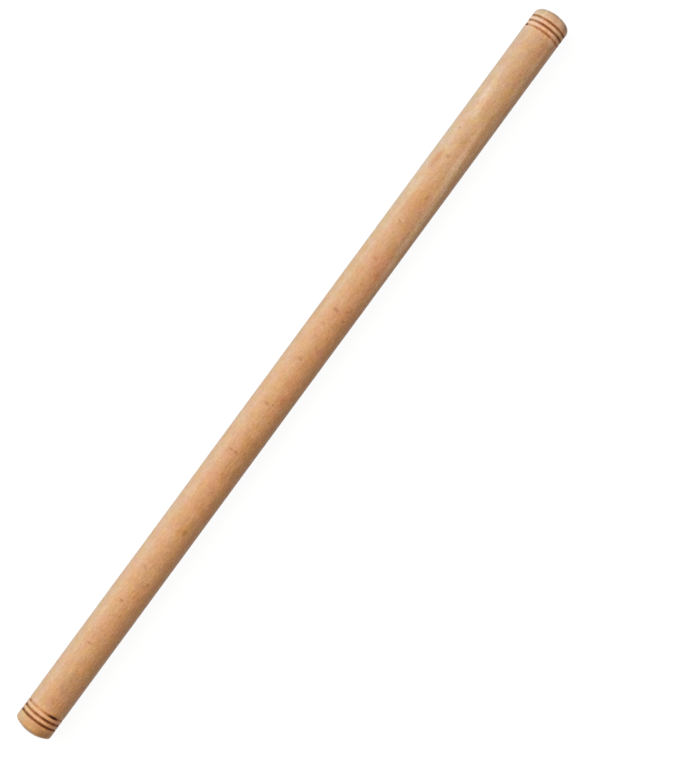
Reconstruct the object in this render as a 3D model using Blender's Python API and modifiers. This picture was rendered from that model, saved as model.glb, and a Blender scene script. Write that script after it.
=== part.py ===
"""Thin rolling pin, turned from one length of beech.

The pin is a plain rod that is rolled under the palms, so it has no handles, axle or bearings.
It lies along X on the plane Z = 0, with the middle of its length over the origin. Near each end
three fine grooves run round it, and each end is a shallow dome with a rounded edge and a small
flat, left where the blank was held between the centres of the lathe.
"""

import math

import bpy

# Rod
PIN_LENGTH = 0.450
PIN_DIAMETER = 0.0203

# Ends: the dome's height is measured to where it would meet the side if the edge were sharp
DOME_HEIGHT = 0.003
CENTRE_FLAT_DIAMETER = 0.006
EDGE_RADIUS_PLUS_X = 0.0035
EDGE_RADIUS_MINUS_X = 0.0015

# Grooves: a land is the plain wood left standing beside a groove
GROOVE_COUNT = 3
GROOVE_WIDTH = 0.0011
GROOVE_DEPTH = 0.0005
GROOVE_LAND = 0.00185
END_LAND_PLUS_X = 0.0018
END_LAND_MINUS_X = 0.0039

# Facets
SIDES = 64
DOME_STEPS = 5
EDGE_STEPS = 5
GROOVE_STEPS = 6
SHARP_ANGLE = math.radians(35)
MERGE_DISTANCE = 0.00001

# Beech, oiled by use
BEECH_COLOUR = (0.62, 0.34, 0.17, 1.0)
BEECH_ROUGHNESS = 0.5


def clear_scene():
    """Remove every object, so that the model starts from nothing."""
    for thing in list(bpy.data.objects):
        bpy.data.objects.remove(thing, do_unlink=True)


def arc(centre_radius, centre_depth, radius, start, end, steps):
    """Points on an arc, as (distance from the axis, depth), with angles measured from the axis."""
    angles = [start + (end - start) * step / steps for step in range(steps + 1)]
    return [
        (centre_radius + radius * math.sin(angle), centre_depth - radius * math.cos(angle))
        for angle in angles
    ]


def rounded_end(edge_radius):
    """Outline of a domed end, from the axis out to where the straight side starts.

    Depth is measured into the wood from the small flat. The dome is part of a sphere, and the
    edge is an arc that touches both the sphere and the side.
    """
    side = PIN_DIAMETER / 2
    flat = CENTRE_FLAT_DIAMETER / 2
    dome_radius = (side ** 2 + DOME_HEIGHT ** 2) / (2 * DOME_HEIGHT)
    dome_centre = math.sqrt(dome_radius ** 2 - flat ** 2)

    edge_out = side - edge_radius
    edge_centre = dome_centre - math.sqrt((dome_radius - edge_radius) ** 2 - edge_out ** 2)
    flat_angle = math.asin(flat / dome_radius)
    edge_angle = math.atan2(edge_out, dome_centre - edge_centre)

    dome = arc(0.0, dome_centre, dome_radius, flat_angle, edge_angle, DOME_STEPS)
    edge = arc(edge_out, edge_centre, edge_radius, edge_angle, math.pi / 2, EDGE_STEPS)
    return [(0.0, 0.0)] + dome + edge[1:]


def groove(start_depth):
    """Outline of one groove, half an ellipse cut into the side, from lip to lip."""
    side = PIN_DIAMETER / 2
    half_width = GROOVE_WIDTH / 2
    points = []
    for step in range(GROOVE_STEPS + 1):
        angle = math.pi * step / GROOVE_STEPS
        along = start_depth + half_width * (1 - math.cos(angle))
        points.append((side - GROOVE_DEPTH * math.sin(angle), along))
    return points


def end_outline(edge_radius, end_land):
    """Outline of one end, from the axis to the inner lip of its last groove."""
    points = rounded_end(edge_radius)
    lip = points[-1][1] + end_land
    for _ in range(GROOVE_COUNT):
        points += groove(lip)
        lip += GROOVE_WIDTH + GROOVE_LAND
    return points


def pin_profile():
    """Half section of the pin as (distance from the axis, place along it), from +X end to -X."""
    near = end_outline(EDGE_RADIUS_PLUS_X, END_LAND_PLUS_X)
    far = end_outline(EDGE_RADIUS_MINUS_X, END_LAND_MINUS_X)
    half = PIN_LENGTH / 2
    return [(out, half - depth) for out, depth in near] + [
        (out, depth - half) for out, depth in reversed(far)
    ]


def turn(name, profile, collection):
    """Turn a half section about Z and return the closed solid as one object."""
    section = bpy.data.meshes.new(name + "_section")
    points = [(out, 0.0, along) for out, along in profile]
    edges = [(first, first + 1) for first in range(len(points) - 1)]
    section.from_pydata(points, edges, [])

    turned = bpy.data.objects.new(name, section)
    collection.objects.link(turned)
    screw = turned.modifiers.new("turn", "SCREW")
    screw.axis = "Z"
    screw.angle = math.tau
    screw.steps = SIDES
    screw.render_steps = SIDES
    screw.use_merge_vertices = True
    screw.merge_threshold = MERGE_DISTANCE

    bpy.context.view_layer.update()
    depsgraph = bpy.context.evaluated_depsgraph_get()
    solid = bpy.data.meshes.new_from_object(turned.evaluated_get(depsgraph))
    solid.name = name
    turned.modifiers.clear()
    turned.data = solid
    bpy.data.meshes.remove(section)
    return turned


def beech():
    """Pale reddish-brown beech with a satin face."""
    material = bpy.data.materials.new("beech")
    material.use_nodes = True
    surface = material.node_tree.nodes["Principled BSDF"]
    surface.inputs["Base Color"].default_value = BEECH_COLOUR
    surface.inputs["Roughness"].default_value = BEECH_ROUGHNESS
    surface.inputs["Metallic"].default_value = 0.0
    material.diffuse_color = BEECH_COLOUR
    return material


def rolling_pin(collection):
    """The whole pin, laid along X so that it lies on one of its facets at Z = 0."""
    pin = turn("rolling_pin", pin_profile(), collection)
    pin.data.shade_smooth()
    pin.data.set_sharp_from_angle(angle=SHARP_ANGLE)
    pin.data.materials.append(beech())

    half_facet = math.pi / SIDES
    pin.rotation_mode = "ZYX"
    pin.rotation_euler = (0.0, math.pi / 2, half_facet)
    pin.location = (0.0, 0.0, PIN_DIAMETER / 2 * math.cos(half_facet))
    return pin


clear_scene()
thin_rolling_pin = bpy.data.collections.new("thin_rolling_pin")
bpy.context.scene.collection.children.link(thin_rolling_pin)
rolling_pin(thin_rolling_pin)
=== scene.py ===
"""Looks of a thin rolling pin: one turned rod of beech with grooves burnt round it near each end.

The pin is a single piece, so the sections follow its making: the rod is turned, the grooves are
burnt in, the wood's figure is laid through the solid, and the finished pin is put on a worktop.
"""

import math

import bpy
import numpy as np
from mathutils import Matrix, Vector


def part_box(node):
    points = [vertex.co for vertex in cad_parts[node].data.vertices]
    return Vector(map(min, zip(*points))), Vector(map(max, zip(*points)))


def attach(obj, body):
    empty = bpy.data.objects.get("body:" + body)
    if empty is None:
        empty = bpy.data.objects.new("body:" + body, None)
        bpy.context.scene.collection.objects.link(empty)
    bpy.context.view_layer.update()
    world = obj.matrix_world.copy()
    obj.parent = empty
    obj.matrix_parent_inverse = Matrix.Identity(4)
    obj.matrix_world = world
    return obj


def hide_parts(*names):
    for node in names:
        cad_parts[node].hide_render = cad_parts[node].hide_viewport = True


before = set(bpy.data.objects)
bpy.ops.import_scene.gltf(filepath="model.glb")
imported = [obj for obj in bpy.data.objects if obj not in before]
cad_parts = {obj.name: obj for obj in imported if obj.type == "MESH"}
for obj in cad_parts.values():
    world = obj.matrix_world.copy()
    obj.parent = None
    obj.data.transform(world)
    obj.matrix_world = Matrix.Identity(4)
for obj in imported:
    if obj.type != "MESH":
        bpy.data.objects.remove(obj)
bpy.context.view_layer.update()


# The turned rod
# A straight rod of beech, turned on a lathe and sanded, lying along X. Each end is a shallow dome
# with a rounded edge, and has a small flat where the lathe's centre held the blank.

rod_low, rod_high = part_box("rolling_pin")
ROD_HALF_LENGTH = (rod_high.x - rod_low.x) / 2
ROD_RADIUS = (rod_high.z - rod_low.z) / 2
AXIS_HEIGHT = (rod_high.z + rod_low.z) / 2
DOME_HEIGHT = 0.003
CENTRE_FLAT_RADIUS = 0.003
EDGE_RADIUS_PLUS_X = 0.0035
EDGE_RADIUS_MINUS_X = 0.0015

# Rings of points: the one nearest the axis is at a share of the flat's radius
POINTS_AROUND = 224
NEAREST_RING = 0.1
RINGS_ON_FLAT = 8
RINGS_ON_DOME = 26
RINGS_ON_EDGE = 18

# The waves that turning leaves: height in units of TURNING_WAVE, wavelength over two pi, how far
# the wave sways as it goes round, how many times round, and where round it starts
TURNING_WAVE = 0.000012
TURNING_WAVES = (
    (1.0, 0.0061, 0.8, 1, 0.0),
    (1.0, 0.0147, 1.0, 2, 1.3),
    (1.4, 0.041, 1.0, 1, 2.1),
)


def domed_end(edge_radius):
    """Depth from the end and distance from the axis, along a section of one end.

    The dome is an arc of a circle through the rim that the rod would have with a sharp edge. The
    rounded edge is a smaller arc that touches the dome's circle and the straight side.
    """
    dome_radius = (ROD_RADIUS ** 2 + DOME_HEIGHT ** 2) / (2 * DOME_HEIGHT)
    dome_centre = math.sqrt(dome_radius ** 2 - CENTRE_FLAT_RADIUS ** 2)
    edge_out = ROD_RADIUS - edge_radius
    edge_centre = dome_centre - math.sqrt((dome_radius - edge_radius) ** 2 - edge_out ** 2)
    flat_angle = math.asin(CENTRE_FLAT_RADIUS / dome_radius)
    edge_angle = math.atan2(edge_out, dome_centre - edge_centre)

    flat = np.linspace(NEAREST_RING, 1.0, RINGS_ON_FLAT) * CENTRE_FLAT_RADIUS
    dome = np.linspace(flat_angle, edge_angle, RINGS_ON_DOME)[1:]
    edge = np.linspace(edge_angle, math.pi / 2, RINGS_ON_EDGE)[1:]
    depth = np.concatenate([
        np.zeros_like(flat),
        dome_centre - dome_radius * np.cos(dome),
        edge_centre - edge_radius * np.cos(edge),
    ])
    out = np.concatenate([
        flat,
        dome_radius * np.sin(dome),
        edge_out + edge_radius * np.sin(edge),
    ])
    return depth, out


def turning_wave(along, around):
    """Height of the shallow waves that turning and sanding leave, a sum of slow sine waves."""
    waves = sum(
        height * np.sin(along / length + sway * np.sin(turns * around + start))
        for height, length, sway, turns, start in TURNING_WAVES
    )
    return TURNING_WAVE * waves


# The burnt grooves
# Three fine grooves run round the rod near each end. A wire held against the spinning wood cuts
# each one and burns it brown, darker and deeper where the wire was pulled harder or dwelt. A few
# darker spots at the +Y rim are painted shade. The lands between the grooves keep the pale look of
# fresh wood, less of it on the -Y side, where that loss is painted shade.

GROOVES_AT_AN_END = 3
GROOVE_WIDTH = 0.0011
GROOVE_DEPTH = 0.0005
GROOVE_LAND = 0.00185
GROOVE_PITCH = GROOVE_WIDTH + GROOVE_LAND
END_LAND_PLUS_X = 0.0018
END_LAND_MINUS_X = 0.0039
LIP_SOFTNESS = 0.25

# Share of GROOVE_DEPTH where the wood isn't burnt at all, to which the darkness is added, and the
# largest share anywhere
UNBURNT_DEPTH = 0.35
DEEPEST = 1.1

# The burn is full out to the core, and fades over the halo, which spreads with darkness
BURN_CORE = 0.00044
BURN_HALO = 0.00024
BURN_SPREAD = 0.00016
BURN_TOWARDS = math.radians(45)

# Unevenness of the burn: how many waves go round, how far the seed turns them, and their height
BURN_WAVES = ((5, 1.0, 0.035), (11, 2.3, 0.025), (23, 4.1, 0.02))
BURN_SEED_PLUS_X = 1.0
BURN_SEED_MINUS_X = 4.0

# From the outermost groove of each end inwards: how dark it is, and how much darker on one side
BURNS_PLUS_X = ((0.52, 0.07), (0.60, 0.06), (0.42, -0.03))
BURNS_MINUS_X = ((0.65, 0.02), (0.57, 0.11), (0.27, 0.07))

# Places where the wire dwelt, and near -70 degrees at the +Y rim spots of painted shade, where a
# groove seen edge-on looks dark: groove counted inwards, angle and half width of the spot in degrees,
# and darkness
DWELLS_AND_RIM_SHADE_PLUS_X = (
    (2, -74, 7, 0.90), (2, -50, 12, 0.30), (2, 0, 15, 0.50), (2, 18, 7, 0.53),
    (1, -52, 15, 0.50), (0, 7, 17, 0.62), (0, -52, 17, 0.56),
)
DWELLS_AND_RIM_SHADE_MINUS_X = (
    (2, 14, 10, 0.46), (2, 34, 18, 0.95), (2, -66, 10, 0.50), (1, 19, 14, 0.76),
    (1, -38, 18, 0.49), (1, -72, 9, 0.80), (0, 28, 24, 0.78), (0, -70, 9, 0.80),
)

# The paleness of the lands fades out this far beyond the grooves, and is less on two sides of the
# rod, near 68 degrees on the -Y side as painted shade: angle and half width in degrees, and share lost
FRESH_REACH = 0.0022
DULL_SIDES_PLUS_X = ((68, 40, 0.45), (-60, 45, 0.28))
DULL_SIDES_MINUS_X = ((68, 40, 0.25), (-60, 45, 0.65))

# Rings of points across a groove, out to a number of groove widths from its middle, and on the
# plain stretches: from each end to its first groove, between the two ends' grooves, and on each
# land, as shares of the pitch
RINGS_ACROSS_GROOVE = 31
GROOVE_MARGIN = 0.8
RINGS_TO_GROOVES_PLUS_X = 8
RINGS_TO_GROOVES_MINUS_X = 12
RINGS_BETWEEN_ENDS = 120
LAND_RINGS = np.linspace(0.35, 0.65, 5)

# The end grain sets in as the surface drops below the side by this share of the radius
END_GRAIN_REACH = 0.2


def groove_places(side, edge_radius, end_land):
    """Places along X of the middles of one end's grooves, from the outermost inwards."""
    shoulder = domed_end(edge_radius)[0][-1]
    first = shoulder + end_land + GROOVE_WIDTH / 2
    return side * (ROD_HALF_LENGTH - first - GROOVE_PITCH * np.arange(GROOVES_AT_AN_END))


plus_places = groove_places(1, EDGE_RADIUS_PLUS_X, END_LAND_PLUS_X)
minus_places = groove_places(-1, EDGE_RADIUS_MINUS_X, END_LAND_MINUS_X)


def rod_stations():
    """Places along X and distances from the axis of the rod's rings of points, without grooves.

    The domed ends come from their section. Between them the rings stand close together across
    each groove and its lips, and further apart along the plain stretches.
    """
    depth_plus, out_plus = domed_end(EDGE_RADIUS_PLUS_X)
    depth_minus, out_minus = domed_end(EDGE_RADIUS_MINUS_X)
    start = ROD_HALF_LENGTH - depth_plus[-1]
    stop = -ROD_HALF_LENGTH + depth_minus[-1]

    across = np.linspace(-1, 1, RINGS_ACROSS_GROOVE) * GROOVE_WIDTH * GROOVE_MARGIN
    close = (np.concatenate([plus_places, minus_places])[:, None] + across).ravel()
    lands = np.concatenate([
        np.linspace(start, plus_places[0], RINGS_TO_GROOVES_PLUS_X)[1:-1],
        np.linspace(stop, minus_places[0], RINGS_TO_GROOVES_MINUS_X)[1:-1],
        np.linspace(plus_places[-1], minus_places[-1], RINGS_BETWEEN_ENDS)[1:-1],
        (plus_places[:-1, None] - GROOVE_PITCH * LAND_RINGS).ravel(),
        (minus_places[:-1, None] + GROOVE_PITCH * LAND_RINGS).ravel(),
    ])
    side = np.sort(np.concatenate([close, lands]))[::-1]

    along = np.concatenate([ROD_HALF_LENGTH - depth_plus, side, depth_minus[::-1] - ROD_HALF_LENGTH])
    out = np.concatenate([out_plus, np.full(len(side), ROD_RADIUS), out_minus[::-1]])
    return along, out


def groove_cut(offset):
    """Share of the groove's depth at a distance from its middle: half an ellipse with soft lips."""
    reach = np.clip(1 - (offset / (GROOVE_WIDTH / 2)) ** 2, 0, 1)
    return np.sqrt(reach) * (1 - LIP_SOFTNESS * (1 - reach) ** 4)


def spot_around(around, angle, half_width):
    """1 at an angle round the rod, falling off as exp(-(turn / half width) ** 4)."""
    return np.exp(-(((around - math.radians(angle)) / math.radians(half_width)) ** 4))


def burn_around(around, level, swing, dwells_and_rim_shade, seed):
    """How darkly a groove is burnt at each angle round the rod, from 0 to 1.

    A steady level, one cosine that peaks on the side the wire was pulled towards, a little
    unevenness from three more sine waves, and a smooth spot at each listed place: where the wire
    dwelt, and painted shade at the +Y rim.
    """
    burn = level + swing * np.cos(around - BURN_TOWARDS)
    for count, turn, height in BURN_WAVES:
        burn += height * np.sin(count * around + turn * seed)
    for angle, half_width, dark in dwells_and_rim_shade:
        burn += (dark - burn) * spot_around(around, angle, half_width)
    return np.clip(burn, 0, 1)


def burnt_grooves(along, around):
    """Depth cut away, darkness of the burn and paleness of the lands, at each point of a grid.

    The depth of a groove follows its darkness. The burn is full over the groove's core, and beyond
    it falls off as exp(-(distance / halo) ** 1.5). The paleness is full from an end's first groove
    to its last and fades out beyond them.
    """
    depth = np.zeros_like(along)
    burn = np.zeros_like(along)
    fresh_and_shade = np.zeros_like(along)
    for places, burns, dwells_and_rim_shade, dull_sides, seed in (
        (plus_places, BURNS_PLUS_X, DWELLS_AND_RIM_SHADE_PLUS_X, DULL_SIDES_PLUS_X, BURN_SEED_PLUS_X),
        (minus_places, BURNS_MINUS_X, DWELLS_AND_RIM_SHADE_MINUS_X, DULL_SIDES_MINUS_X, BURN_SEED_MINUS_X),
    ):
        for number, (place, (level, swing)) in enumerate(zip(places, burns)):
            spots = [dark_spot[1:] for dark_spot in dwells_and_rim_shade if dark_spot[0] == number]
            dark = burn_around(around, level, swing, spots, seed + number)
            offset = np.abs(along - place)
            depth += GROOVE_DEPTH * np.clip(UNBURNT_DEPTH + dark, 0, DEEPEST) * groove_cut(offset)
            beyond = np.clip(offset - BURN_CORE, 0, None)
            halo = BURN_HALO + BURN_SPREAD * dark
            burn = np.maximum(burn, dark * np.exp(-((beyond / halo) ** 1.5)))

        middle = (places[0] + places[-1]) / 2
        beyond = np.abs(along - middle) - np.abs(places[0] - places[-1]) / 2
        kept = 1.0
        for angle, half_width, share in dull_sides:
            kept = kept * (1 - share * spot_around(around, angle, half_width))
        fresh_and_shade = np.maximum(fresh_and_shade, kept * (1 - np.clip(beyond / FRESH_REACH, 0, 1) ** 1.5))
    return depth, burn, fresh_and_shade


def closed_turning(name, along, out, around):
    """A closed mesh from rings of points round X, with one point on the axis at each end.

    along and out are grids with a row for each ring and a column for each angle.
    """
    rings, points = along.shape
    y = -out * np.sin(around)
    z = AXIS_HEIGHT + out * np.cos(around)
    corners = np.stack([along, y, z], axis=-1).reshape(-1, 3)
    poles = [[along[0, 0], 0, AXIS_HEIGHT], [along[-1, 0], 0, AXIS_HEIGHT]]
    corners = np.concatenate([corners, poles])

    ring = np.arange(rings - 1)[:, None] * points
    here = np.arange(points)[None, :]
    beside = (here + 1) % points
    quads = np.stack([ring + here, ring + points + here, ring + points + beside, ring + beside], axis=-1)
    last = (rings - 1) * points
    first_pole = rings * points
    fans = np.concatenate([
        np.stack([np.full(points, first_pole), here[0], beside[0]], axis=-1),
        np.stack([np.full(points, first_pole + 1), last + beside[0], last + here[0]], axis=-1),
    ])

    mesh = bpy.data.meshes.new(name)
    mesh.from_pydata(corners.tolist(), [], quads.reshape(-1, 4).tolist() + fans.tolist())
    mesh.shade_smooth()
    mesh.update()
    return mesh


def store(mesh, name, values):
    """Keep one number for each point of a mesh, as an attribute that a material can read."""
    mesh.attributes.new(name, "FLOAT", "POINT").data.foreach_set("value", values.astype(np.float32))


def turned_pin():
    """The whole pin as one object, with its burn, pale lands and end grain stored on its points.

    The distance from the axis is the rod's, less the grooves, plus the waves on the straight side.
    """
    station, plain = rod_stations()
    angle = np.linspace(0, 2 * np.pi, POINTS_AROUND, endpoint=False)
    angle = np.where(angle > np.pi, angle - 2 * np.pi, angle)
    along, around = np.meshgrid(station, angle, indexing="ij")
    depth, burn, fresh_and_shade = burnt_grooves(along, around)

    straight = plain > ROD_RADIUS * 0.9999  # all of the side, and none of the rounded edges
    out = plain[:, None] - depth
    out += turning_wave(along, around) * straight[:, None]
    drop = (ROD_RADIUS - plain) / (END_GRAIN_REACH * ROD_RADIUS)
    end_grain = np.clip(drop, 0, 1)[:, None] + np.zeros_like(along)

    mesh = closed_turning("turned_pin", along, out, around)
    for name, grid, pole in (("burn", burn, 0), ("fresh_and_shade", fresh_and_shade, 0), ("end_grain", end_grain, 1)):
        store(mesh, name, np.append(grid.ravel(), [pole, pole]))
    pin = bpy.data.objects.new("turned_pin", mesh)
    bpy.context.scene.collection.objects.link(pin)
    return pin


# The wood
# Beech is pale and pinkish brown. Growth rings run along the rod as soft bands, and rays, thin
# sheets of cells that point at the middle of the tree, show as short flecks. All of it runs
# through the solid, so the sides and the end grain agree. Lengths here are in millimetres.

# The rod is a little warmer in its middle and paler towards +X, its last stretches are duller, and
# the dome at +X is paler and greyer: place from the middle of the rod, and colour
TONE_SPAN = 450.0
BEECH_TONES = (
    (-225, (0.675, 0.39, 0.19, 1)), (-219, (0.675, 0.39, 0.19, 1)), (-213, (0.705, 0.42, 0.235, 1)),
    (-90, (0.71, 0.42, 0.235, 1)), (30, (0.695, 0.405, 0.22, 1)), (140, (0.71, 0.46, 0.285, 1)),
    (210, (0.68, 0.425, 0.26, 1)), (218, (0.68, 0.425, 0.26, 1)), (222, (0.75, 0.53, 0.38, 1)),
    (225, (0.75, 0.53, 0.38, 1)),
)

# The wood is redder on the -Y side, towards the pith, and greyer towards the bark on the +Y side:
# partly the wood's tone, partly painted shade on the -Y side and painted sheen on the lamps' side
PITH_SIDE_TINT_AND_SHADE = (1.155, 1.06, 0.98, 1)
BARK_SIDE_TINT_AND_SHEEN = (0.885, 0.985, 1.11, 1)

# How the rod lay in the log
PITH_DISTANCE = 72.0
RADIAL_TILT = math.radians(-12)
GRAIN_SLOPE = math.radians(0.5)

# Patterns all through the wood, each with a tint: size along the grain and across it, detail, and
# the levels of the noise where the pattern begins and where it is full. Some of them fade from the
# pith's side, 0, to the bark's, 1: where that begins and ends, and their strength there.
PINK_CLOUDS = (7.5, 6.4, 3, 0.34, 0.66)
PINK_TINT = (1.025, 0.925, 0.95, 1)
STRAW_CLOUDS = (5.2, 4.6, 3, 0.34, 0.66)
STRAW_TINT = (1.0, 1.005, 0.80, 1)
BROWN_CLOUDS = (6.6, 5.6, 2, 0.30, 0.70)
BROWN_TINT = (0.95, 0.94, 0.925, 1)
MOTTLE = (1.9, 1.55, 3, 0.28, 0.72)
MOTTLE_TINT = (0.90, 0.88, 0.845, 1)
MOTTLE_FADE = (0.1, 0.9, 1.0, 0.7)
SPECKS = (0.75, 0.55, 1, 0.36, 0.64)
SPECK_TINT = (0.77, 0.74, 0.68, 1)
SPECK_FADE = (0.0, 0.7, 1.0, 0.5)
FIBRES = (3.8, 0.58, 4, 0.30, 0.70)
FIBRE_TINT = (0.93, 0.91, 0.89, 1)
FIBRE_FADE = (0.1, 0.9, 1.0, 0.6)
PORES = (3.6, 0.17, 2, 0.42, 0.66)
PORE_TINT = (0.93, 0.905, 0.875, 1)
DASHES = (4.4, 0.62, 1, 0.42, 0.60)
DASH_TINT = (0.82, 0.78, 0.73, 1)
DASH_FADE = (0.1, 0.9, 0.32, 0.0)

# Growth rings: spacing, how far they wander and over what lengths along the grain and across it.
# The late wood sets in, is full and stops at these shares of a ring. It is stronger in patches,
# from one level of the noise to another.
RING_SPACING = 2.1
RING_WANDER = 2.6
RING_BENDS = (85, 11, 11)
LATE_WOOD_BEGINS, LATE_WOOD_FULL, LATE_WOOD_STOPS = 0.1, 0.8, 1.0
RING_PATCHES = (60, 5, 5)
RING_STRENGTHS = (0.35, 0.65, 0.2, 1.0)
LATE_WOOD_TINT = (0.98, 0.965, 0.94, 1)

# Rays, small ones everywhere and large ones round the back: cell and half size along the grain, out
# from the pith and round it, and a shift that sets the two apart. Each ray has the smallest share
# of its half size or more, and fades out between two shares of that. The back sets in between two
# heights above the axis.
SMALLEST_RAY = 0.5
RAY_SIZE_RANGE = 0.8
RAY_FADE = (1.2, 0.5)
SMALL_RAYS = ((3.4, 9.0, 0.9), (1.0, 5.0, 0.08), 0.0)
SMALL_RAY_TINT = (0.78, 0.70, 0.62, 1)
SMALL_RAY_STRENGTH = 0.45
LARGE_RAYS = ((9.0, 16.0, 2.2), (0.9, 5.0, 0.2), 40.0)
LARGE_RAY_TINT = (0.74, 0.66, 0.60, 1)
LARGE_RAY_SOFTNESS = 0.5
BACK_HEIGHTS = (3.0, -2.0)

# Marks along the side that lies uppermost, most of them in the wood and the last kind painted
# shade. Each kind has a tint and a softness of its edge. Each mark has a place along the rod, a place
# round it, half its length, half its width, a lean in degrees and a strength.

# Two faint bands that run the whole length
DARK_BAND_LOOK = ((0.975, 0.94, 0.925, 1), 0.7)
LONG_DARK_BANDS = ((0, -3.5, 400, 2.2, 0.0, 1.0),)
PALE_BAND_LOOK = ((1.055, 1.065, 1.06, 1), 0.7)
LONG_PALE_BANDS = ((0, 3.2, 400, 2.0, 0.0, 1.0),)

# Pale bluish streaks, rust-coloured marks, and a long rosy stretch
PALE_STREAK_LOOK = ((1.25, 1.46, 1.74, 1), 0.5)
PALE_STREAKS = (
    (118, 5.7, 34, 2.0, -4.4, 0.82), (86, 8, 36, 1.9, -1.5, 1.0), (190, 7, 19, 1.4, 0.0, 0.6),
    (155, 8.7, 30, 1.1, 0.0, 0.4), (167, -4.9, 12, 2.1, -5.0, 0.4), (219.5, 5.2, 6.5, 3.2, 0.0, 0.4),
    (-221.5, -1, 1.8, 1.6, 0.0, 0.2), (210.9, 6.4, 2.5, 2.0, 0.0, 0.8),
)
RUST_MARK_LOOK = ((0.88, 0.69, 0.56, 1), 0.6)
RUST_MARKS = (
    (127.7, -6.5, 5.6, 1.7, 3.0, 1.0), (68.4, -1, 1.1, 1.4, 0.0, 0.8), (102.8, -1.8, 5.5, 3.6, 0.0, 0.33),
    (-18, 4.3, 3.6, 2.4, 0.0, 0.36), (61.6, 6.2, 2.6, 2.6, 0.0, 0.33), (76.4, 4.1, 3.5, 2.0, 0.0, 0.33),
)
ROSY_PATCH_LOOK = ((1.035, 1.0, 1.09, 1), 0.5)
ROSY_PATCHES = ((48, 4.2, 62, 3.4, 0.0, 1.0),)

# Straw-coloured and ashen patches, some of them in the same places
STRAW_PATCH_LOOK = ((1.0, 0.98, 0.80, 1), 0.8)
STRAW_PATCHES = (
    (108.2, -1.5, 6.0, 3.4, 0.0, 0.9), (-98.8, 3.7, 3.1, 2.2, 0.0, 1.0), (174.2, 4.8, 3.6, 2.4, 0.0, 0.8),
    (89.2, 1.2, 2.4, 2.0, 0.0, 0.7), (142.5, -1, 4.0, 2.4, 0.0, 0.5), (152.2, -3.3, 7.0, 2.2, 0.0, 0.5),
)
ASHEN_PATCH_LOOK = ((0.94, 1.01, 1.08, 1), 0.8)
ASHEN_PATCHES = (
    (-194, 2.8, 5.0, 3.4, 0.0, 1.0), (-166, 2.6, 2.5, 1.9, 0.0, 0.9), (79.6, 6.2, 4.4, 3.2, 0.0, 0.9),
    (142.5, -1, 4.0, 2.4, 0.0, 0.8), (152.2, -3.3, 7.0, 2.2, 0.0, 0.8),
)

# Single large rays, which have the tint of the large rays, and a few greenish flecks
BROWN_FLECKS = (
    (187.2, 3.4, 0.6, 0.9, 0.0, 0.6), (187.7, 6.6, 0.6, 0.9, 0.0, 0.6), (147.5, -6.3, 0.9, 1.0, 0.0, 0.5),
    (131.9, -2.2, 0.9, 1.2, 0.0, 0.85), (108.3, 2, 1.1, 0.8, 0.0, 0.7), (90.9, -2.2, 0.6, 1.5, 24.0, 0.7),
    (62, 5, 0.6, 1.5, -30.0, 0.6), (38, 3.7, 0.7, 0.8, 0.0, 0.7), (33, 5.1, 0.8, 0.8, 0.0, 0.8),
    (29.6, 6.3, 0.8, 0.7, 0.0, 0.6), (35.6, -1.6, 0.9, 1.6, 8.0, 1.0), (19.3, -2.2, 0.7, 1.3, 0.0, 0.5),
    (5.2, -1.6, 0.9, 1.1, 0.0, 0.8), (-17.9, 4.3, 2.2, 0.5, 0.0, 0.7), (-21.7, 1.4, 0.8, 0.6, 0.0, 0.6),
    (-22.6, -1.7, 0.9, 1.4, 10.0, 0.9), (-41.3, -1.3, 0.7, 1.1, 0.0, 0.5),
    (-51.6, -2.6, 0.8, 1.0, 0.0, 0.8), (-51.6, -0.1, 0.7, 0.8, 0.0, 0.8), (-64.3, 1.4, 1.0, 0.6, 0.0, 0.7),
    (-99.5, 3.9, 1.6, 0.9, 0.0, 0.5), (-124.2, -2.1, 0.6, 1.4, 30.0, 0.6),
    (-130.8, 4.3, 1.0, 0.9, 0.0, 0.8), (-144.2, -1.9, 0.9, 1.1, 0.0, 0.9),
    (-170.5, -2.1, 0.7, 1.5, -8.0, 0.8),
)
OLIVE_FLECK_LOOK = ((0.80, 0.79, 0.62, 1), 0.55)
OLIVE_FLECKS = (
    (26.6, -2.8, 0.8, 1.1, 20.0, 0.5), (-74.7, 2.9, 1.0, 1.0, 0.0, 0.8), (-93, 4.3, 3.5, 1.4, 0.0, 0.5),
    (-99.2, 3.9, 2.2, 1.3, 0.0, 0.8),
)

# Patches where short dark dashes of fibre show
DASHED_PATCH_SOFTNESS = 0.5
DASHED_PATCHES = (
    (-52.5, 3.7, 18, 3.2, 0.0, 1.0), (-53, 6.0, 16, 2.2, 0.0, 1.0), (-85, 6.6, 12, 1.6, 0.0, 0.8),
    (-153, 4.8, 9, 3.0, 0.0, 0.8), (-195, 1.3, 12, 2.4, 0.0, 0.7), (33, 4.6, 26, 3.4, 0.0, 0.5),
)

# Painted shade on the rounded ends: darker patches where the domes turn away from the light
END_SHADE_LOOK = ((0.62, 0.60, 0.56, 1), 0.5)
PAINTED_END_SHADE = (
    (-221.2, 5.5, 2.1, 2.1, 0.0, 0.62), (-220.9, 8.6, 2.2, 1.8, 0.0, 0.5),
    (-221.5, -7.8, 1.8, 1.6, 0.0, 0.2), (-222.6, 0.2, 1.0, 2.2, 0.0, 0.2),
    (221.4, 8.8, 2.2, 1.8, 0.0, 0.85), (223.0, 3.2, 0.6, 4.6, 0.0, 0.5), (221.6, -8.2, 3.0, 2.0, 0.0, 0.35),
)

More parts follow.
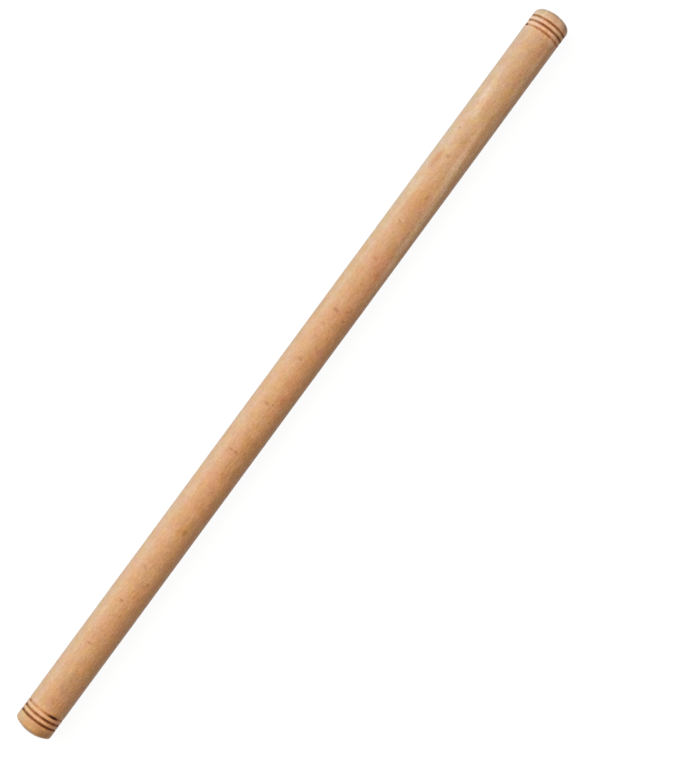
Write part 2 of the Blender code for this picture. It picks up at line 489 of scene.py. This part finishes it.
# The pale lands, the burn from toasted to charred, and the end grain with its late wood
FRESH_TINT = (1.35, 1.40, 1.64, 1)
CHAR_TONES = (
    (0.0, (1, 1, 1, 1)), (0.15, (0.92, 0.85, 0.73, 1)), (0.35, (0.69, 0.54, 0.38, 1)),
    (0.6, (0.42, 0.27, 0.15, 1)), (0.85, (0.16, 0.066, 0.018, 1)), (1.0, (0.03, 0.012, 0.004, 1)),
)
END_GRAIN_TINT = (0.84, 0.80, 0.76, 1)
END_LATE_WOOD_TINT = (0.84, 0.79, 0.72, 1)

# A satin surface, in patches, rougher where it is burnt and on the end grain, with a fine nap.
# Its relief is from the fibres, which stand a little low, and from fine rings left by sanding.
SATIN_PATCHES = (9, 3, 3)
ROUGHNESS = 0.44
ROUGHNESS_PATCHES = 0.12
BURNT_ROUGHNESS = 0.4
END_GRAIN_ROUGHNESS = 0.15
GLOSS = 0.25
NAP = 1.0
NAP_ROUGHNESS = 0.25
SANDING_RINGS = (0.16, 60, 60)
SANDING_HEIGHT = 0.35
FIBRE_HEIGHT = -0.5
RELIEF_STRENGTH = 0.2
RELIEF_METRES = 0.00003


def put(socket, value):
    """Link a socket to another one, or give it a constant."""
    if isinstance(value, bpy.types.NodeSocket):
        socket.id_data.links.new(value, socket)
    else:
        socket.default_value = value


def node(tree, kind, inputs=None, **settings):
    """Add a node, with its settings made and its inputs linked or set."""
    made = tree.nodes.new(kind)
    for name, value in settings.items():
        setattr(made, name, value)
    for name, value in (inputs or {}).items():
        put(made.inputs[name], value)
    return made


def calc(tree, operation, *values):
    """One sum on numbers."""
    made = node(tree, "ShaderNodeMath", operation=operation)
    for socket, value in zip(made.inputs, values):
        put(socket, value)
    return made.outputs[0]


def between(tree, value, low, high, out_low=0.0, out_high=1.0):
    """A smooth step of value from low to high."""
    return node(
        tree, "ShaderNodeMapRange",
        {"Value": value, "From Min": low, "From Max": high, "To Min": out_low, "To Max": out_high},
        interpolation_type="SMOOTHSTEP",
    ).outputs["Result"]


def stretched(tree, point, x, y, z):
    """A point divided by a length along each axis, so that a pattern of size 1 gets those lengths."""
    return node(
        tree, "ShaderNodeMapping", {"Vector": point, "Scale": (1 / x, 1 / y, 1 / z)},
    ).outputs["Vector"]


def noise(tree, point, detail=2.0):
    """Smooth noise round 0.5, with a pattern of about size 1."""
    return node(
        tree, "ShaderNodeTexNoise",
        {"Vector": point, "Scale": 1.0, "Detail": detail, "Roughness": 0.5},
        normalize=True,
    ).outputs["Fac"]


def pattern(tree, point, along, across, detail, low, high):
    """Where a pattern in the wood shows, from 0 to 1: a smooth step of noise drawn along the grain."""
    return between(tree, noise(tree, stretched(tree, point, along, across, across), detail), low, high)


def mixed(tree, first, second, amount, blend="MIX"):
    """A mix of two colours, by an amount from 0 to 1."""
    made = node(tree, "ShaderNodeMix", data_type="RGBA", blend_type=blend, clamp_factor=True)
    put(made.inputs["Factor"], amount)
    put(made.inputs[6], first)
    put(made.inputs[7], second)
    return made.outputs[2]


def tinted(tree, colour, tint, amount):
    """A colour multiplied by a tint, by an amount from 0 to 1."""
    return mixed(tree, colour, tint, amount, "MULTIPLY")


def toned(tree, value, tones):
    """A colour that runs through listed tones as value goes from 0 to 1."""
    ramp = node(tree, "ShaderNodeValToRGB", {"Fac": value})
    stops = ramp.color_ramp.elements
    stops[0].position, stops[0].color = tones[0]
    stops[1].position, stops[1].color = tones[-1]
    for place, tone in tones[1:-1]:
        stops.new(place).color = tone
    return ramp.outputs["Color"]


def object_point(tree):
    """Object coordinates in millimetres, measured from the rod's axis."""
    coordinates = node(tree, "ShaderNodeTexCoord").outputs["Object"]
    return node(
        tree, "ShaderNodeMapping",
        {"Vector": coordinates, "Location": (0, 0, -1000 * AXIS_HEIGHT), "Scale": (1000, 1000, 1000)},
    ).outputs["Vector"]


def log_point(tree, point):
    """The point as it lay in the log: X along the grain, Y and Z measured from the pith."""
    return node(
        tree, "ShaderNodeMapping",
        {"Vector": point, "Location": (0, PITH_DISTANCE, 0), "Rotation": (RADIAL_TILT, 0, GRAIN_SLOPE)},
    ).outputs["Vector"]


def pith_place(tree, point):
    """A point's place along the grain, its distance from the pith, and its place round the pith."""
    parts = node(tree, "ShaderNodeSeparateXYZ", {"Vector": point}).outputs
    y, z = parts["Y"], parts["Z"]
    far = calc(tree, "SQRT", calc(tree, "MULTIPLY_ADD", y, y, calc(tree, "MULTIPLY", z, z)))
    return parts["X"], far, calc(tree, "MULTIPLY", calc(tree, "ARCTAN2", z, y), PITH_DISTANCE)


def side_place(tree, point):
    """A point's place on the rod's side laid flat: along it, and round it from the uppermost line."""
    parts = node(tree, "ShaderNodeSeparateXYZ", {"Vector": point}).outputs
    turn = calc(tree, "ARCTAN2", calc(tree, "MULTIPLY", parts["Y"], -1), parts["Z"])
    arc = calc(tree, "MULTIPLY", turn, 1000 * ROD_RADIUS)
    return node(tree, "ShaderNodeCombineXYZ", {"X": parts["X"], "Y": arc}).outputs["Vector"]


def marks(tree, place, listed, softness):
    """Soft ellipses at listed places on the side, at full strength inside and fading outwards.

    Each is a round gradient, 1 in its middle and 0 at its rim, in coordinates scaled to the ellipse
    and its soft edge. Overlapping ones don't add up.
    """
    total = 0.0
    rim = 1.0 + softness
    for along, arc, half_length, half_width, lean, strength in listed:
        local = node(
            tree, "ShaderNodeMapping",
            {"Vector": place, "Location": (along, arc, 0), "Rotation": (0, 0, math.radians(lean)),
             "Scale": (half_length * rim, half_width * rim, 1)},
            vector_type="TEXTURE",
        ).outputs["Vector"]
        inwards = node(
            tree, "ShaderNodeTexGradient", {"Vector": local}, gradient_type="SPHERICAL",
        ).outputs["Fac"]
        total = calc(tree, "MAXIMUM", total, between(tree, inwards, 0.0, 2 * softness / rim, 0.0, strength))
    return total


def marked(tree, colour, place, listed, look):
    """A colour with one kind of mark in it."""
    tint, softness = look
    return tinted(tree, colour, tint, marks(tree, place, listed, softness))


def growth_rings(tree, point, far):
    """Darkness of the late wood, which deepens outwards through each ring and then stops."""
    bend = noise(tree, stretched(tree, point, *RING_BENDS))
    bend = calc(tree, "MULTIPLY_ADD", bend, RING_WANDER, far)
    turn = calc(tree, "FRACT", calc(tree, "DIVIDE", bend, RING_SPACING))
    deepening = between(tree, turn, LATE_WOOD_BEGINS, LATE_WOOD_FULL)
    stopping = between(tree, turn, LATE_WOOD_STOPS, LATE_WOOD_FULL)
    patches = noise(tree, stretched(tree, point, *RING_PATCHES))
    strength = between(tree, patches, *RING_STRENGTHS)
    return calc(tree, "MULTIPLY", calc(tree, "MULTIPLY", deepening, stopping), strength)


def rays(tree, along, far, round_pith, cell, half_size, shift):
    """Where the surface cuts the rays: flat ellipsoids scattered along, out from and round the pith.

    Each cell of a Voronoi pattern holds one ray at its own point, larger or smaller by the cell's
    own colour. cell and half_size are the cells' and the rays' sizes along the grain, out from the
    pith and round it.
    """
    raw = node(tree, "ShaderNodeCombineXYZ", {"X": along, "Y": far, "Z": round_pith}).outputs["Vector"]
    moved = node(
        tree, "ShaderNodeVectorMath", {0: raw, 1: (shift, shift, shift)}, operation="ADD",
    ).outputs[0]
    scaled = stretched(tree, moved, *cell)
    cells = node(tree, "ShaderNodeTexVoronoi", {"Vector": scaled, "Scale": 1.0}, voronoi_dimensions="3D")
    apart = node(
        tree, "ShaderNodeVectorMath", {0: cells.outputs["Position"], 1: scaled}, operation="SUBTRACT",
    ).outputs[0]
    ratio = tuple(space / half for space, half in zip(cell, half_size))
    reach = node(tree, "ShaderNodeVectorMath", {0: apart, 1: ratio}, operation="MULTIPLY").outputs[0]
    length = node(tree, "ShaderNodeVectorMath", {0: reach}, operation="LENGTH").outputs["Value"]
    size = node(tree, "ShaderNodeSeparateColor", {"Color": cells.outputs["Color"]}).outputs["Red"]
    edge = calc(tree, "MULTIPLY_ADD", size, RAY_SIZE_RANGE, SMALLEST_RAY)
    outer, inner = (calc(tree, "MULTIPLY", edge, share) for share in RAY_FADE)
    return between(tree, length, outer, inner)


def attribute(tree, name):
    """A number stored on the mesh's points."""
    return node(tree, "ShaderNodeAttribute", attribute_name=name).outputs["Fac"]


def beech():
    """Sanded beech, burnt in the grooves and more open at the ends."""
    material = bpy.data.materials.new("turned_beech")
    material.use_nodes = True
    tree = material.node_tree
    surface = tree.nodes["Principled BSDF"]

    place = object_point(tree)
    point = log_point(tree, place)
    side = side_place(tree, place)
    along, far, round_pith = pith_place(tree, point)
    burn, fresh_and_shade, end_grain = (attribute(tree, name) for name in ("burn", "fresh_and_shade", "end_grain"))

    # The tone along the rod, and from the pith's side to the bark's, partly painted shade and sheen
    tones = [(where / TONE_SPAN + 0.5, tone) for where, tone in BEECH_TONES]
    tone = toned(tree, calc(tree, "MULTIPLY_ADD", along, 1 / TONE_SPAN, 0.5), tones)
    parts = node(tree, "ShaderNodeSeparateXYZ", {"Vector": place}).outputs
    barkward = calc(tree, "MULTIPLY_ADD", parts["Y"], 1 / (2000 * ROD_RADIUS), 0.5)
    across = mixed(tree, PITH_SIDE_TINT_AND_SHADE, BARK_SIDE_TINT_AND_SHEEN, barkward)
    colour = tinted(tree, tone, across, 1.0)

    # Clouds, and a finer mottle with specks
    colour = tinted(tree, colour, PINK_TINT, pattern(tree, point, *PINK_CLOUDS))
    colour = tinted(tree, colour, STRAW_TINT, pattern(tree, point, *STRAW_CLOUDS))
    colour = tinted(tree, colour, BROWN_TINT, pattern(tree, point, *BROWN_CLOUDS))
    mottle_share = between(tree, barkward, *MOTTLE_FADE)
    mottle = calc(tree, "MULTIPLY", pattern(tree, point, *MOTTLE), mottle_share)
    colour = tinted(tree, colour, MOTTLE_TINT, mottle)
    speck_share = between(tree, barkward, *SPECK_FADE)
    specks = calc(tree, "MULTIPLY", pattern(tree, point, *SPECKS), speck_share)
    colour = tinted(tree, colour, SPECK_TINT, specks)
    colour = marked(tree, colour, side, LONG_DARK_BANDS, DARK_BAND_LOOK)
    colour = marked(tree, colour, side, LONG_PALE_BANDS, PALE_BAND_LOOK)

    # Growth rings, fibres and pores
    late_wood = growth_rings(tree, point, far)
    colour = tinted(tree, colour, LATE_WOOD_TINT, late_wood)
    fibre = pattern(tree, point, *FIBRES)
    fibre_share = between(tree, barkward, *FIBRE_FADE)
    colour = tinted(tree, colour, FIBRE_TINT, calc(tree, "MULTIPLY", fibre, fibre_share))
    colour = tinted(tree, colour, PORE_TINT, pattern(tree, point, *PORES))

    # Dashes of fibre, faint on the pith's side and plain in their patches
    faint = between(tree, barkward, *DASH_FADE)
    patches = marks(tree, side, DASHED_PATCHES, DASHED_PATCH_SOFTNESS)
    dashed = calc(tree, "MAXIMUM", patches, faint)
    dashes = calc(tree, "MULTIPLY", pattern(tree, point, *DASHES), dashed)
    colour = tinted(tree, colour, DASH_TINT, dashes)

    # Rays: the large ones are scattered round the back, and stand at their own places on top
    small = rays(tree, along, far, round_pith, *SMALL_RAYS)
    colour = tinted(tree, colour, SMALL_RAY_TINT, calc(tree, "MULTIPLY", small, SMALL_RAY_STRENGTH))
    back = between(tree, parts["Z"], *BACK_HEIGHTS)
    scattered = calc(tree, "MULTIPLY", rays(tree, along, far, round_pith, *LARGE_RAYS), back)
    placed = marks(tree, side, BROWN_FLECKS, LARGE_RAY_SOFTNESS)
    colour = tinted(tree, colour, LARGE_RAY_TINT, calc(tree, "MAXIMUM", placed, scattered))

    # Single marks, the last of them painted shade on the rounded ends
    for listed, look in (
        (OLIVE_FLECKS, OLIVE_FLECK_LOOK), (RUST_MARKS, RUST_MARK_LOOK),
        (STRAW_PATCHES, STRAW_PATCH_LOOK), (ROSY_PATCHES, ROSY_PATCH_LOOK),
        (ASHEN_PATCHES, ASHEN_PATCH_LOOK), (PALE_STREAKS, PALE_STREAK_LOOK),
        (PAINTED_END_SHADE, END_SHADE_LOOK),
    ):
        colour = marked(tree, colour, side, listed, look)

    # The lands, the burn and the end grain
    colour = tinted(tree, colour, FRESH_TINT, fresh_and_shade)
    colour = tinted(tree, colour, toned(tree, burn, CHAR_TONES), 1.0)
    colour = tinted(tree, colour, END_GRAIN_TINT, end_grain)
    colour = tinted(tree, colour, END_LATE_WOOD_TINT, calc(tree, "MULTIPLY", late_wood, end_grain))
    put(surface.inputs["Base Color"], colour)

    # The satin surface
    satin = noise(tree, stretched(tree, point, *SATIN_PATCHES))
    roughness = calc(tree, "MULTIPLY_ADD", satin, ROUGHNESS_PATCHES, ROUGHNESS)
    roughness = calc(tree, "MULTIPLY_ADD", burn, BURNT_ROUGHNESS, roughness)
    roughness = calc(tree, "MULTIPLY_ADD", end_grain, END_GRAIN_ROUGHNESS, roughness)
    put(surface.inputs["Roughness"], roughness)
    surface.inputs["Specular IOR Level"].default_value = GLOSS
    surface.inputs["Sheen Weight"].default_value = NAP
    surface.inputs["Sheen Roughness"].default_value = NAP_ROUGHNESS

    # The relief of fibres and sanding
    sanding = noise(tree, stretched(tree, place, *SANDING_RINGS), detail=3)
    sanding = calc(tree, "MULTIPLY", sanding, SANDING_HEIGHT)
    relief = calc(tree, "MULTIPLY_ADD", fibre, FIBRE_HEIGHT, sanding)
    bump = node(
        tree, "ShaderNodeBump",
        {"Strength": RELIEF_STRENGTH, "Distance": RELIEF_METRES, "Height": relief},
    )
    put(surface.inputs["Normal"], bump.outputs["Normal"])
    return material


pin = turned_pin()
pin.data.materials.append(beech())
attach(pin, "root")
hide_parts("rolling_pin")


# The worktop, the light and the camera
# A matt white worktop in an evenly lit room, with two wide soft lamps on the +Y side, a warm one
# high up and a cool one low down, as from a window. To the camera and in reflections the worktop
# and the room are white, and the worktop keeps the pin's shadow.

WORKTOP_SIZE = 6.0
WORKTOP_DROP = 0.00005
WORKTOP_COLOUR = (0.10, 0.10, 0.10, 1)
WORKTOP_GLOW = 0.935
WORKTOP_LIGHT = 0.23
LIT_REACH = (0.5, 2.0)
ROOM_LIGHT = 0.35
LAMP_DISTANCE = 1.2

CAMERA_PLACE = Vector((-0.0320, 0.0, AXIS_HEIGHT + 0.82837))
CAMERA_AIM = Vector((0.00648, -0.02295, AXIS_HEIGHT))
CAMERA_TURN = math.radians(53.67)
CAMERA_LENS = 76.2


def seen_by_camera(tree):
    """1 for rays from the camera and for reflected and refracted rays, otherwise 0."""
    path = node(tree, "ShaderNodeLightPath").outputs
    seen = calc(tree, "MAXIMUM", path["Is Camera Ray"], path["Is Glossy Ray"])
    return calc(tree, "MAXIMUM", seen, path["Is Transmission Ray"])


def worktop():
    """A flat square of floor just under the pin.

    To the camera it glows nearly white near the pin, where the lamps add the rest, and fully white
    beyond their reach.
    """
    edge = np.array([-1, 1]) * WORKTOP_SIZE / 2
    x, y = np.meshgrid(edge, edge)
    corners = np.stack([x, y, np.full((2, 2), -WORKTOP_DROP)], axis=-1).reshape(-1, 3)
    mesh = bpy.data.meshes.new("worktop")
    mesh.from_pydata(corners.tolist(), [], [(0, 1, 3, 2)])
    material = bpy.data.materials.new("matt_white")
    material.use_nodes = True
    tree = material.node_tree
    surface = tree.nodes["Principled BSDF"]
    surface.inputs["Base Color"].default_value = WORKTOP_COLOUR
    surface.inputs["Roughness"].default_value = 1.0
    surface.inputs["Specular IOR Level"].default_value = 0.0
    surface.inputs["Emission Color"].default_value = (1, 1, 1, 1)
    centre = node(tree, "ShaderNodeTexCoord").outputs["Object"]
    far = node(tree, "ShaderNodeVectorMath", {0: centre}, operation="LENGTH").outputs["Value"]
    glow = between(tree, far, *LIT_REACH, WORKTOP_GLOW - WORKTOP_LIGHT, 1 - WORKTOP_LIGHT)
    strength = calc(tree, "MULTIPLY_ADD", seen_by_camera(tree), glow, WORKTOP_LIGHT)
    put(surface.inputs["Emission Strength"], strength)
    mesh.materials.append(material)
    top = bpy.data.objects.new("worktop", mesh)
    bpy.context.scene.collection.objects.link(top)


def surroundings():
    """A grey room for light, which is white where it is seen."""
    world = bpy.data.worlds.new("room")
    world.use_nodes = True
    tree = world.node_tree
    room = tree.nodes["Background"]
    room.inputs["Color"].default_value = (1, 1, 1, 1)
    strength = calc(tree, "MULTIPLY_ADD", seen_by_camera(tree), 1.0 - ROOM_LIGHT, ROOM_LIGHT)
    put(room.inputs["Strength"], strength)
    bpy.context.scene.world = world


def softbox(name, lean, size, power, colour):
    """A wide lamp over the pin's axis, leaning from straight overhead towards +Y, aimed at the pin."""
    lamp = bpy.data.lights.new(name, "AREA")
    lamp.shape = "RECTANGLE"
    lamp.size, lamp.size_y = size
    lamp.energy = power
    lamp.color = colour
    light = bpy.data.objects.new(name, lamp)
    light.location = (0, LAMP_DISTANCE * math.sin(lean), AXIS_HEIGHT + LAMP_DISTANCE * math.cos(lean))
    light.rotation_euler = (-lean, 0, 0)
    bpy.context.scene.collection.objects.link(light)


def camera():
    """A camera looking nearly straight down on the pin, turned so that the pin leans in the frame."""
    forward = (CAMERA_AIM - CAMERA_PLACE).normalized()
    across = forward.cross(Vector((0, 1, 0))).normalized()
    upward = across.cross(forward)
    right = across * math.cos(CAMERA_TURN) - upward * math.sin(CAMERA_TURN)
    up = across * math.sin(CAMERA_TURN) + upward * math.cos(CAMERA_TURN)
    facing = Matrix((right, up, -forward)).transposed().to_4x4()
    seeing = bpy.data.objects.new("camera", bpy.data.cameras.new("camera"))
    seeing.data.lens = CAMERA_LENS
    seeing.data.clip_start = 0.01
    seeing.data.clip_end = 20
    seeing.matrix_world = Matrix.Translation(CAMERA_PLACE) @ facing
    bpy.context.scene.collection.objects.link(seeing)
    bpy.context.scene.camera = seeing


worktop()
surroundings()
softbox("main", lean=math.radians(31.5), size=(1.2, 0.8), power=11.3, colour=(1.15, 1.0, 0.85))
softbox("window", lean=math.radians(80), size=(1.2, 0.35), power=8.4, colour=(0.58, 1.0, 1.42))
camera()
bpy.context.scene.view_settings.view_transform = "Standard"
